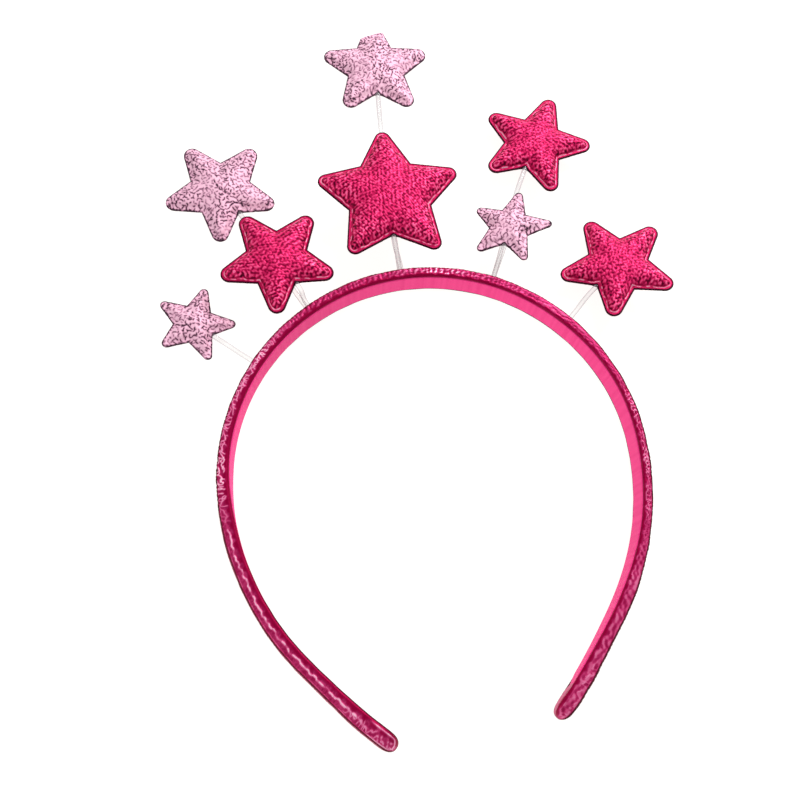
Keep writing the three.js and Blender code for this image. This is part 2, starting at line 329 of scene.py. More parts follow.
# %% [markdown]
# ## The ribbon and the rods
# The lining is polyester satin ribbon: smooth and bright, with a fine rib across it. The real ribs are about
# 0.2 mm apart, too fine to show here, so they are drawn 0.5 mm apart, and a slow change of tone along the
# ribbon stands for the places where it was pulled. The rods are extruded acrylic, clear and polished. Such
# a thin rod is seen only by its two sides, where light passes it at a slant. Refraction would do that too,
# but at a few pixels' width it breaks up into dots, so a Layer Weight makes the middle almost clear instead.

# %% Satin ribbon and clear acrylic
RIB_SPACING = 0.5
PULL_SPACING = 1.6

satin = new_material("pink_satin_ribbon")
along = add_node(satin, "ShaderNodeAttribute", {"attribute_name": "along"})
rib_phase = add_node(satin, "ShaderNodeMath", {"operation": "MULTIPLY"}, {
    0: along.outputs["Fac"],
    1: 2 * math.pi / RIB_SPACING,
})
ribs = add_node(satin, "ShaderNodeMath", {"operation": "SINE"}, {0: rib_phase.outputs["Value"]})
pulls = add_node(satin, "ShaderNodeTexNoise", {"noise_dimensions": "1D"}, {
    "W": along.outputs["Fac"],
    "Scale": 1 / PULL_SPACING,
    "Detail": 2.0,
})
satin_colour = add_node(satin, "ShaderNodeValToRGB", inputs={"Fac": pulls.outputs["Fac"]}, ramp=[
    (0.32, "#eb3884"), (0.62, "#f2428c"),
])
rib_bump = add_node(satin, "ShaderNodeBump", inputs={
    "Strength": 0.05,
    "Distance": 0.02 * MM,
    "Height": ribs.outputs["Value"],
})
satin_shader = add_node(satin, "ShaderNodeBsdfPrincipled", inputs={
    "Base Color": satin_colour.outputs["Color"],
    "Roughness": 0.6,
    "IOR": 1.5,
    "Specular IOR Level": 0.15,
    "Specular Tint": linear("#f4a0c4"),
    "Normal": rib_bump.outputs["Normal"],
})
add_node(satin, "ShaderNodeOutputMaterial", inputs={"Surface": satin_shader.outputs["BSDF"]})

acrylic = new_material("clear_acrylic")
slant = add_node(acrylic, "ShaderNodeLayerWeight", inputs={"Blend": 0.5})
cover_by_slant = add_node(acrylic, "ShaderNodeValToRGB", inputs={"Fac": slant.outputs["Facing"]}, ramp=[
    (0.1, "#616161"), (0.65, "#c8c8c8"),
])
acrylic_shader = add_node(acrylic, "ShaderNodeBsdfPrincipled", inputs={
    "Base Color": linear("#bfb9be"),
    "Roughness": 0.05,
    "IOR": 1.49,
    "Alpha": cover_by_slant.outputs["Color"],
})
add_node(acrylic, "ShaderNodeOutputMaterial", inputs={"Surface": acrylic_shader.outputs["BSDF"]})
print("ribbon and rod:", satin.name, acrylic.name)

# %% [markdown]
# ## The hoop's middle line
# Seen flat, half of the hoop is four arcs that follow on smoothly: a wide crown, a flatter side, an almost
# straight leg and a tip that turns in. Everything on the hoop is placed by its distance along this line from
# the crown, and then outwards and upwards from it. The two legs of the real hoop aren't quite alike, so a
# table says how much each one leans, twists or thickens, and between which distances from the crown.

# %% Points beside the hoop
CROWN_RADIUS = 59.6
HOOP_ARCS = [
    {"radius": CROWN_RADIUS, "length": 93},
    {"radius": 77, "length": 52.7},
    {"radius": 550, "length": 16},
    {"radius": 110, "length": 16.5},
]
HALF_LENGTH = sum(arc["length"] for arc in HOOP_ARCS)
BAND_WIDTH = 11
CROWN_THICKNESS = 3.4
TIP_THICKNESS = 4.6
THICKNESS = [(46.5, CROWN_THICKNESS), (150, 4), (172, TIP_THICKNESS)]
TIP_LENGTH = 6
LEGS = {
    "left": {"lean": 0.06, "lean_grows": (85, 125), "fuller": 0.6, "fills_out": (80, 105),
             "evens_out": (105, 150), "twist": 0.08, "twists": (82, 102), "untwists": (104, 122)},
    "right": {"lean": 0.055, "lean_grows": (140, 165), "shorter": 1.8, "shortens": (120, HALF_LENGTH),
              "slimmer": 0.4, "tilt": 0.055, "slims": (45, 80), "fills_out": (112, 140)},
}


def ease(values, start, end):
    """0 before start, 1 after end, and smooth between them."""
    share = np.clip((values - start) / (end - start), 0, 1)
    return share * share * (3 - 2 * share)


def between(values, rises, falls):
    """0 before rises and after falls, 1 between them, and smooth along both."""
    return ease(values, *rises) * (1 - ease(values, *falls))


def at_least(least, share):
    """least where share is 0, 1 where share is 1, and even between them."""
    return least + (1 - least) * share


def hoop_at(distance):
    """The middle line's points and outward normals at signed distances from the crown."""
    distance = np.atleast_1d(np.asarray(distance, float))
    side = np.where(distance < 0, -1, 1)
    left = np.abs(distance)
    turned = np.zeros_like(left)
    point = np.zeros((len(left), 2))
    for arc in HOOP_ARCS:
        run = np.minimum(left, arc["length"])
        after = turned + run / arc["radius"]
        point[:, 0] += arc["radius"] * (np.sin(after) - np.sin(turned))
        point[:, 1] += arc["radius"] * (np.cos(after) - np.cos(turned))
        turned = after
        left = left - run
    point[:, 0] *= side
    return point, np.stack([side * np.sin(turned), np.cos(turned)], axis=-1)


def slim_part(distance):
    """1 along the upper part of the right leg, where the hoop is slimmer and tilted in, and 0 elsewhere."""
    return between(distance, LEGS["right"]["slims"], LEGS["right"]["fills_out"])


def thickness_at(distance):
    """The hoop's thickness, which grows down the legs and at the gathered tips."""
    thickness = np.full_like(np.asarray(distance, float), CROWN_THICKNESS)
    for (start, thinner), (end, thicker) in zip(THICKNESS, THICKNESS[1:]):
        thickness += (thicker - thinner) * ease(np.abs(distance), start, end)
    thickness += LEGS["left"]["fuller"] * ease(-distance, *LEGS["left"]["fills_out"])
    return thickness - 2 * LEGS["right"]["slimmer"] * slim_part(distance)


def beside_hoop(distance, out, up):
    """Points for rows of distances and columns of out and up, all in mm. The legs are a little twisted, so
    that their lower edges stand out or in from their upper ones, and the right leg is the shorter one."""
    left, right = LEGS["left"], LEGS["right"]
    point, normal = hoop_at(distance - right["shorter"] * ease(distance, *right["shortens"]))
    twisted = left["twist"] * between(-distance, left["twists"], left["untwists"])
    lean = left["lean"] * ease(-distance, *left["lean_grows"]) + twisted
    lean = lean + right["lean"] * ease(distance, *right["lean_grows"]) - right["tilt"] * slim_part(distance)
    fuller_inside = ease(-distance, *left["fills_out"]) - ease(-distance, *left["evens_out"])
    shift = right["slimmer"] * slim_part(distance) - left["fuller"] / 2 * fuller_inside
    out = out + shift[:, None] + lean[:, None] * (BAND_WIDTH - up)
    flat = point[:, None, :] + normal[:, None, :] * out[..., None]
    return np.concatenate([flat, np.broadcast_to(up, out.shape)[..., None]], axis=-1)


print("the hoop is", round(2 * HALF_LENGTH), "mm long round its middle line")

# %% [markdown]
# ## The hoop's cover
# The foil cloth is wrapped round the plastic hoop lengthwise, over both edges, and its cut edges lie under
# the ribbon. Pulled tight, it is smooth along the inner corners and only faintly crumpled on the outer face.
# Over the two narrow edges it has nowhere to go and puckers into a crest of short squiggles, which carry
# painted highlights. A curve with a bevel could carry the section but not the crest, so the cover is a grid
# of sections.

# %% One section of the cover
EDGE_ROUND = 1.05
RIBBON_WIDTH = 9
STEP_GAP = 0.2
STEP_DEPTH = 0.7
STEP_SLOPE = 0.02
POINT_SPACING = 0.22
FACE_SPACING = 0.6
UPPER_STEPS = {"outer_corner": 9, "edge": 9, "inner_corner": 5}
LOWER_STEPS = {"outer_corner": 5, "edge": 4, "inner_corner": 4}

half_width = BAND_WIDTH / 2
flat_end = half_width - EDGE_ROUND
step_at = RIBBON_WIDTH / 2 + STEP_GAP


def section_half(steps):
    """Rows (side, out, up) from the outer face's middle over one edge to the recess: side is the share of
    half the thickness, and out and up are places in mm from there and from the middle line."""
    face = np.linspace(0, flat_end, round(flat_end / FACE_SPACING), endpoint=False)
    outer = np.linspace(0, math.pi / 2, steps["outer_corner"], endpoint=False)
    edge = np.linspace(1, -1, steps["edge"], endpoint=False)
    inner = np.linspace(0, math.pi / 2, steps["inner_corner"], endpoint=False)
    rows = [(1, 0, up) for up in face]
    rows += [(1, EDGE_ROUND * (math.cos(a) - 1), flat_end + EDGE_ROUND * math.sin(a)) for a in outer]
    rows += [(share, -EDGE_ROUND * share, half_width) for share in edge]
    rows += [(-1, EDGE_ROUND * (1 - math.sin(a)), flat_end + EDGE_ROUND * math.cos(a)) for a in inner]
    rows = [row for row in rows if row[0] > -1 or row[2] > step_at]
    return rows + [(-1, STEP_DEPTH, step_at - STEP_SLOPE), (-1, STEP_DEPTH, step_at / 2)]


upper = section_half(UPPER_STEPS)
lower = [(side, out, -up) for side, out, up in reversed(section_half(LOWER_STEPS)[1:])]
template = np.array([*upper, (-1, STEP_DEPTH, 0), *lower], float)
nominal = np.stack([template[:, 0] * CROWN_THICKNESS / 2 + template[:, 1], template[:, 2]], axis=-1)
ahead = np.roll(nominal, -1, axis=0) - nominal
tangent = ahead + np.roll(ahead, 1, axis=0)
tangent /= np.linalg.norm(tangent, axis=1, keepdims=True)
section_normal = np.stack([tangent[:, 1], -tangent[:, 0]], axis=-1)
around = np.concatenate([[0], np.cumsum(np.linalg.norm(ahead, axis=1))[:-1]])
print("points in a section:", len(template), "and round it", round(float(around[-1]), 1), "mm")

# %% [markdown]
# ## Squiggles, crest and loops
# Each kind of fold is a field of its own, shown only where the cloth has it. The outer part of each narrow
# edge is crinkled: across the crown in short oblique streaks, down the legs in thin squiggles with painted
# highlights. Beside it, along the ribbon, the cloth is pulled smooth and gets painted shade. On the lower
# left leg one wavy crest is left, and on the lower right leg soft broad folds. At the tips, where the cloth
# is folded in like the end of a parcel, a crease runs round in a loop.

# %% Rows of sections along the hoop
TIP_RINGS = 22
TIP_TURN = 0.998 * math.pi / 2

straight = HALF_LENGTH - TIP_LENGTH
distance = np.linspace(-straight, straight, round(2 * straight / POINT_SPACING))
tip_run = straight + TIP_LENGTH * np.sin(np.linspace(0, TIP_TURN, TIP_RINGS))[1:]
distance = np.concatenate([-tip_run[::-1], distance, tip_run])
from_crown = np.abs(distance)[:, None]
tip_share = np.clip((from_crown - straight) / TIP_LENGTH, 0, 1)
across = np.sqrt(1 - tip_share ** 2)
through = np.sqrt(1 - tip_share ** 4)
print("rows of sections along the hoop:", len(distance))

# %% Where the folds lie
CRINKLED = {"to": -0.42, "slant": 0.2, "slants_by": 90, "edge": 0.12}
RAGGED = {"by": 0.14, "spacing": 2.6, "seed": 18}
RIGHT_PULL = {"by": 0.15, "grows": (130, 155)}
STREAKS_END = (30, 52)
SQUIGGLES_END = {"left": (93, 107), "right": (108, 135)}
SQUIGGLES_FADE = 0.8
RIGHT_SQUIGGLES = {"least": 0.25, "more": 0.7, "grow": (68, 82)}
RIGHT_CREST = (22, 15)
LOOP_STARTS = (11, 8)
BRANCHES = {"start": (21, 15), "middle": 0.2, "half": 0.4, "on_right": 0.7}
GLINTS = {"at": 11, "half": 6}


def near_tip(starts, whole):
    """0 until starts mm before the tip's end, 1 from whole mm before it, and smooth between."""
    return ease(from_crown, HALF_LENGTH - starts, HALF_LENGTH - whole)


side = template[:, 0]
lateral = nominal[:, 0] / nominal[0, 0]
on_top = np.abs(template[:, 2]) > flat_end
on_inside = (side < 0) & ~on_top
on_face = (side > 0) & ~on_top
on_left = np.where(distance < 0, 1, 0)[:, None]
on_right = 1 - on_left
straight_on = np.stack([distance, 0 * distance], axis=-1)
ragged = RAGGED["by"] * crumple(straight_on, RAGGED["spacing"], RAGGED["seed"])[:, None]
crinkle_ends = CRINKLED["to"] - CRINKLED["slant"] * np.clip(distance / CRINKLED["slants_by"], -1, 1)[:, None]
crinkle_ends = crinkle_ends + RIGHT_PULL["by"] * ease(distance, *RIGHT_PULL["grows"])[:, None]
crinkled = on_top * ease(lateral + ragged - crinkle_ends, -CRINKLED["edge"], CRINKLED["edge"])
streaks_show = crinkled * (1 - ease(from_crown, *STREAKS_END))
down_leg = crinkled * ease(from_crown, *STREAKS_END)
squiggles_gone = on_right * ease(from_crown, *SQUIGGLES_END["right"])
squiggles_gone = squiggles_gone + on_left * ease(from_crown, *SQUIGGLES_END["left"])
squiggled = np.maximum(on_left, RIGHT_SQUIGGLES["more"] * ease(from_crown, *RIGHT_SQUIGGLES["grow"]))
squiggled = at_least(RIGHT_SQUIGGLES["least"], squiggled)
squiggles_show = squiggled * down_leg * (1 - SQUIGGLES_FADE * squiggles_gone)
folds_show = down_leg * on_right
crest_shows = on_left * squiggles_gone + on_right * near_tip(*RIGHT_CREST)
loop_shows = near_tip(*LOOP_STARTS)
branches_show = on_top * near_tip(*BRANCHES["start"]) * np.where(on_left, 1, BRANCHES["on_right"])
branches_show = branches_show * np.exp(-((lateral - BRANCHES["middle"]) / BRANCHES["half"]) ** 4)
# A patch of painted glints on the crown's streaks, a little right of its middle.
glints_show = stripe(distance[:, None] - GLINTS["at"], GLINTS["half"])
print("crinkled share of the edges:", round(float(crinkled[:, on_top].mean()), 2))

# %% The fields of the folds
SOFT_FIELDS = {
    "lump": {"spacing": 7, "seed": 12, "firmness": 0.7},
    "worm": {"spacing": RIDGE_SPACING, "seed": 13},
    "gap": {"spacing": 2.4, "seed": 16},
    "streak": {"spacing": 1.2, "seed": 11, "firmness": 1.1, "heading": 45, "fan": 55},
    "fold": {"spacing": 1.1, "seed": 22, "firmness": 1.2, "heading": 78, "fan": 35},
}
LINE_FIELDS = {
    "squiggle": {"spacing": 1.2, "seed": 21, "half_width": 0.17},
    "second_squiggle": {"spacing": 1.2, "seed": 24, "half_width": 0.17},
    "branch": {"spacing": 0.95, "seed": 23, "half_width": 0.15},
}
BROKEN_FROM = (-1.2, 0.2)
PATCHES = {"spacing": 14, "seed": 17, "from": (-0.9, 0.9), "least": 0.7}

grid = (len(distance), len(template))
spread = np.stack(np.broadcast_arrays(distance[:, None], around), axis=-1).reshape(-1, 2)
fields = {name: crumple(spread, **row).reshape(grid) for name, row in SOFT_FIELDS.items()}
fields.update({name: creases(spread, **row).reshape(grid) for name, row in LINE_FIELDS.items()})
lump = fields["lump"]
worm = fields["worm"]
streak = streaks_show * fields["streak"]
soft_fold = folds_show * fields["fold"]
branch = branches_show * fields["branch"]
broken = ease(fields["gap"], *BROKEN_FROM)
patches = ease(crumple(straight_on, PATCHES["spacing"], PATCHES["seed"]), *PATCHES["from"])[:, None]
squiggle = np.maximum(fields["squiggle"], fields["second_squiggle"]) * squiggles_show
squiggle = squiggle * at_least(PATCHES["least"], patches)
print("fields of folds:", list(fields))

# %% The crest, the loops and the painted highlights on all creases
CREST = {"middle": 0.06, "wander": 0.09, "half_width": 0.095, "least": 0.45, "on_right": 0.6}
WANDERS = [
    {"share": 1, "field": {"spacing": 7, "seed": 14, "firmness": 0.8}},
    {"share": 0.7, "field": {"spacing": 2.1, "seed": 15}},
]
LOOP = {"middle": 0.1, "side": 0.48, "round": 1.2, "end": 1.0, "half_width": 0.2, "least": 0.8,
        "on_right": 0.4}
SHINE = {"middle": 0.58, "half_width": 0.07, "grows": (70, 110)}
STRENGTHS = {"fold": 0.25, "branch": 0.7, "shine": 0.5}

wander = sum(row["share"] * crumple(straight_on, **row["field"]) for row in WANDERS)
crest = stripe(lateral - CREST["middle"] - CREST["wander"] * wander[:, None], CREST["half_width"])
crest = on_top * crest * crest_shows * at_least(CREST["least"], broken) * (1 - loop_shows)
crest = crest * np.where(on_left, 1, CREST["on_right"])
loop_beside = (np.abs(lateral - LOOP["middle"]) - LOOP["side"]) * TIP_THICKNESS / 2
loop_beside = np.maximum(loop_beside + LOOP["round"], 0)
loop_ahead = np.maximum(from_crown - HALF_LENGTH + LOOP["end"] + LOOP["round"], 0)
loop = on_top * stripe(np.hypot(loop_beside, loop_ahead) - LOOP["round"], LOOP["half_width"])
loop = loop * loop_shows * at_least(LOOP["least"], broken) * np.where(on_left, 1, LOOP["on_right"])
# A thin, broken line of painted sheen along the outer part of each edge, growing down the legs.
shine = on_top * stripe(lateral - SHINE["middle"], SHINE["half_width"]) * broken
shine = shine * ease(from_crown, *SHINE["grows"])
# Every kind of crease lifts the cloth and also carries a painted highlight in the tone; the strongest one
# counts.
weaker = [STRENGTHS["fold"] * soft_fold, STRENGTHS["branch"] * branch, STRENGTHS["shine"] * shine]
bright = np.maximum(np.maximum.reduce([squiggle, crest, loop, *weaker]), 0)
print("bright creases on", round(100 * float((bright > 0.4).mean()), 1), "% of the cover")

# %% [markdown]
# ## Tones of the cover
# Tone follows the folds with painted light and shade: creases get painted highlights, the pulled strip beside
# the ribbon and the recess under it get painted shade, and the rims the darkest painted shade of all. At the
# tips the cloth is tucked in over the ribbon's ends and gathered on the end face, where it looks like the
# outer face again.

# %% The cover's tones
FACE_TONE = 0.36
FACE_WORM = 0.14
STRIP_TONE = 0.5
LEG_DARKER = {"by": 0.16, "grows": (40, 80)}
RIGHT_PALER = {"by": 0.19, "grows": (112, 135)}
LUMP_TONE = 0.06
STREAK_SHADE_AND_HIGHLIGHT = {"dark": 0.28, "pale": 0.06, "glint": 0.6}
FOLD_SHADE = 0.22
PAINTED_STRIP_SHADE_TONE = 0.13
PAINTED_RECESS_SHADE_TONE = 0.1
TUCKED_TONE = 0.46
CREASE_HIGHLIGHT_TONE = 1.0
PAINTED_RIM_SHADE = 0.95
OUTER_RIM_SHADE = {"from": 0.66, "wide": 0.18, "right_wider": 0.14, "grows": (40, 70)}
INNER_RIM_SHADE = {"place": (0.76, 0.92), "grows": (115, 135)}
LOWER_RIM_SHADE = (0.2, 0.6)
GATHERED = {"lower": (0.4, 0.8), "upper": (0.88, 0.98)}
TUCK_LENGTH = 8
TUCK_STOPS = 1
TUCK_BLEND = 3

tuck_run = (straight - TUCK_LENGTH, straight - TUCK_STOPS)
face_tone = FACE_TONE + FACE_WORM * worm
strip_tone = STRIP_TONE - LEG_DARKER["by"] * ease(from_crown, *LEG_DARKER["grows"]) + LUMP_TONE * lump
# In the crinkled strip, the hollows of the streaks and folds get painted shade and the streaks painted
# highlights, strongest in the painted glints over the crown.
strip_tone = strip_tone - STREAK_SHADE_AND_HIGHLIGHT["dark"] * np.maximum(-streak, 0) - FOLD_SHADE * np.maximum(-soft_fold, 0)
streak_highlight = STREAK_SHADE_AND_HIGHLIGHT["pale"] + STREAK_SHADE_AND_HIGHLIGHT["glint"] * glints_show
strip_tone = strip_tone + streak_highlight * np.maximum(streak, 0) ** 2
strip_tone = strip_tone + RIGHT_PALER["by"] * on_right * ease(from_crown, *RIGHT_PALER["grows"])
# Where the edge isn't crinkled, the pulled strip beside the ribbon gets painted shade.
tone = np.where(on_face, face_tone, PAINTED_STRIP_SHADE_TONE + (strip_tone - PAINTED_STRIP_SHADE_TONE) * crinkled)
tucked_tone = TUCKED_TONE * ease(from_crown, tuck_run[0] - TUCK_BLEND, tuck_run[0])
# The recess under the ribbon gets painted shade, and less of it where the cloth is tucked over the ribbon's
# ends.
tone = np.where(on_inside, PAINTED_RECESS_SHADE_TONE + tucked_tone, tone)
# Each crease takes the tone towards its painted highlight.
tone = tone + (CREASE_HIGHLIGHT_TONE - tone) * bright
# Painted shade along the outer rim of each edge, on the inner rim near the left tip and on the inner part of
# the lower edge.
rim_from = OUTER_RIM_SHADE["from"] - OUTER_RIM_SHADE["right_wider"] * on_right * ease(from_crown, *OUTER_RIM_SHADE["grows"])
outer_rim_shade = ease(lateral, rim_from, rim_from + OUTER_RIM_SHADE["wide"])
inner_rim_shade = on_left * ease(-lateral, *INNER_RIM_SHADE["place"]) * ease(from_crown, *INNER_RIM_SHADE["grows"])
in_lower_half = template[:, 2] < 0
lower_rim_shade = in_lower_half * ease(-lateral, *LOWER_RIM_SHADE)
tone = tone * (1 - PAINTED_RIM_SHADE * on_top * np.maximum(np.maximum(outer_rim_shade, inner_rim_shade), lower_rim_shade))
gathered = np.where(in_lower_half, ease(tip_share, *GATHERED["lower"]), ease(tip_share, *GATHERED["upper"]))
tone = tone + (face_tone - tone) * gathered
print("mean tone of the cover:", round(float(tone.mean()), 2))

# %% Sweep the cover along the hoop
WORM_HEIGHT = 0.05
STREAK_HEIGHT = 0.1
CREASE_HEIGHT = 0.22
CREASE_MIDDLE = 0.5
LUMP_HEIGHT = 0.08

lift = WORM_HEIGHT * on_face * worm + STREAK_HEIGHT * (streak - streaks_show)
lift = lift + CREASE_HEIGHT * (bright - CREASE_MIDDLE * crinkled) + LUMP_HEIGHT * (lump - 1) * ~on_inside
lift = lift * np.minimum(across, through)
step_fill = STEP_DEPTH * (template[:, 1] == STEP_DEPTH) * ease(from_crown, *tuck_run)
out = (side * thickness_at(distance)[:, None] / 2 + template[:, 1] - step_fill) * through
out = out + section_normal[:, 0] * lift
up = np.maximum(half_width + template[:, 2] * across + section_normal[:, 1] * lift, 0)
make_piece(
    "band_cover_cloth",
    beside_hoop(distance, out, up).reshape(-1, 3),
    grid_faces(*grid),
    hoop_foil,
    ["band_cover"],
    {"tone": np.clip(tone, 0, 1).ravel()},
)

# %% [markdown]
# ## The ribbon inside the hoop
# The ribbon is glued into the step of the cover and stands a little proud of it. It is thin and flat, so a
# grid of flat sections with rounded edges does. Its ends sink under the cloth that is tucked in at the tips,
# and along the lower left leg it lies deeper, so that it hardly shows from above.

# %% Lay the ribbon
RIBBON_PROUD = 0.2
RIBBON_THICKNESS = 0.6
RIBBON_END = 5.6
RIBBON_RISE = 0.25
RIBBON_ROUNDS = 24
RIBBON_STEP = 0.5
SQUARENESS = 0.3
TUCKED_SINK = 0.8
LEFT_SINK = {"by": 0.28, "grows": (95, 120)}

ribbon_reach = HALF_LENGTH - RIBBON_END
ribbon_distance = np.linspace(-ribbon_reach, ribbon_reach, round(2 * ribbon_reach / RIBBON_STEP))
turn = 2 * np.pi * np.arange(RIBBON_ROUNDS) / RIBBON_ROUNDS
ring = np.stack([np.cos(turn), np.sin(turn)], axis=-1)
ring = np.sign(ring) * np.abs(ring) ** SQUARENESS
sink = TUCKED_SINK * ease(np.abs(ribbon_distance), *tuck_run)
sink = sink + LEFT_SINK["by"] * ease(-ribbon_distance, *LEFT_SINK["grows"])
ribbon_face = (thickness_at(ribbon_distance) / 2 + RIBBON_PROUD - sink)[:, None]
ribbon_out = RIBBON_THICKNESS / 2 - ribbon_face + ring[:, 0] * RIBBON_THICKNESS / 2
ribbon_up = half_width + RIBBON_RISE + ring[:, 1] * (RIBBON_WIDTH / 2 - RIBBON_RISE)
make_piece(
    "band_lining_ribbon",
    beside_hoop(ribbon_distance, ribbon_out, ribbon_up).reshape(-1, 3),
    grid_faces(len(ribbon_distance), RIBBON_ROUNDS),
    satin,
    ["band_lining"],
    {"along": np.broadcast_to(ribbon_distance[:, None], ribbon_out.shape).ravel()},
)

# %% [markdown]
# ## A flat star
# Each star is cut from two layers of foil cloth and welded along a narrow rim. Five arms with round tips and
# sharp notches make the outline, and all its straight edges lie at one distance from the middle, which makes
# it easy to say how far inside the outline a point is. The flat star is filled with an even net of triangles,
# because even triangles swell evenly.

# %% Outline, inset and net of a star
ARMS = 5
HALF_TURN = math.pi / ARMS
STAR_SIZES = {
    "large": {"point": 25, "notch": 13.2, "tip_round": 2.5, "crown": 4.7},
    "medium": {"point": 21.7, "notch": 9.6, "tip_round": 2.7, "crown": 3.9},
    "small": {"point": 13.9, "notch": 6.3, "tip_round": 1.4, "crown": 3},
}
TIP_POINTS = 15
SHARPEST_TIP = 0.2
NET_CLEARANCE = 0.6
INSIDE_BORDER = 1
SAME_POINT = 1e-6
COARSE_SPACING = 1.1
WELD_INSET = 1.0
COARSE_INSETS = [0, 0.5, WELD_INSET]


def tip_angle_of(size):
    return math.atan2(
        size["notch"] * math.sin(HALF_TURN),
        size["point"] - size["notch"] * math.cos(HALF_TURN),
    )


def inset_of(flat, size):
    """How far flat points lie inside a star's outline, in mm. The star's first arm points along +Y."""
    tip = tip_angle_of(size)
    bearing = np.arctan2(flat[:, 0], flat[:, 1])
    bearing = (bearing + HALF_TURN) % (2 * HALF_TURN) - HALF_TURN
    reach = np.hypot(flat[:, 0], flat[:, 1])
    ahead = reach * np.cos(bearing)
    aside = np.abs(reach * np.sin(bearing))
    inset = size["point"] * math.sin(tip) - ahead * math.sin(tip) - aside * math.cos(tip)
    centre = size["point"] - size["tip_round"] / math.sin(tip)
    in_tip = np.arctan2(aside, ahead - centre) < math.pi / 2 - tip
    return np.where(in_tip, size["tip_round"] - np.hypot(ahead - centre, aside), inset)


def star_ring(size, inset, spacing):
    """The outline moved inwards by inset, as points about spacing apart."""
    tip = tip_angle_of(size)
    share = 1 - inset / (size["point"] * math.sin(tip))
    tip_round = max(size["tip_round"] - inset, SHARPEST_TIP)
    corners = []
    for arm in range(ARMS):
        way = 2 * HALF_TURN * arm
        centre = size["point"] * share - tip_round / math.sin(tip)
        for angle in np.linspace(-1, 1, TIP_POINTS) * (math.pi / 2 - tip):
            corners.append((
                centre * math.sin(way) + tip_round * math.sin(way + angle),
                centre * math.cos(way) + tip_round * math.cos(way + angle),
            ))
        notch = size["notch"] * share
        corners.append((notch * math.sin(way + HALF_TURN), notch * math.cos(way + HALF_TURN)))
    corners = np.array(corners + corners[:1])
    run = np.concatenate([[0], np.cumsum(np.linalg.norm(np.diff(corners, axis=0), axis=1))])
    places = np.linspace(0, run[-1], round(run[-1] / spacing) + 1)[:-1]
    return np.stack([np.interp(places, run, corners[:, 0]), np.interp(places, run, corners[:, 1])], axis=-1)


def star_net(size, insets, spacing):
    """Flat points and triangles of a star: rings along its rim, and an even net inside them."""
    rings = [star_ring(size, inset, spacing) for inset in insets]
    row_height = spacing * math.sqrt(3) / 2
    rows = np.arange(-size["point"], size["point"], row_height)
    columns = np.arange(-size["point"], size["point"], spacing)
    x, y = np.meshgrid(columns, rows)
    x = x + spacing / 2 * (np.arange(len(rows)) % 2)[:, None]
    net = np.stack([x.ravel(), y.ravel()], axis=-1)
    net = net[inset_of(net, size) > insets[-1] + NET_CLEARANCE * spacing]
    points = np.concatenate([*rings, net])
    count = len(rings[0])
    border = [(i, (i + 1) % count) for i in range(count)]
    filled = delaunay_2d_cdt([Vector(p) for p in points], border, [], INSIDE_BORDER, SAME_POINT)
    return np.array([tuple(v) for v in filled[0]]), np.array([tuple(f) for f in filled[2]]), count


coarse_nets = {name: star_net(size, COARSE_INSETS, COARSE_SPACING) for name, size in STAR_SIZES.items()}
print("triangles in the coarse stars:", {name: len(net[1]) for name, net in coarse_nets.items()})

# %% [markdown]
# ## Stuffing a star
# The two layers are stuffed through a gap in the weld. Blender's cloth with inside pressure does the same:
# the rim is held, the cloth is a little larger than the flat star, and the pressure swells it until the spare
# cloth puckers along the weld. It runs on a coarse star twenty-five times full size, because the solver is
# tuned for things as large as cushions.

# %% Swell a coarse star with cloth and pressure
SIM_SCALE = 25 * MM
SIM_FRAMES = 22
START_SHARE = 0.45
START_RISE = 5
HELD_MARGIN = 0.05
UNEVEN = {"by": 0.03, "spacing": 6}
TRIAL = {"size": "medium", "slack": 0.05, "seed": 3}


def two_layers(flat, faces, rim_count, height):
    """Both layers of a star joined along the rim: points, faces, and the index of each back point."""
    back_of = np.concatenate([np.arange(rim_count), np.arange(len(flat), 2 * len(flat) - rim_count)])
    front = np.column_stack([flat, height])
    back = np.column_stack([flat, -height])[rim_count:]
    both = np.concatenate([faces, back_of[faces][:, ::-1]])
    return np.concatenate([front, back]), both, back_of


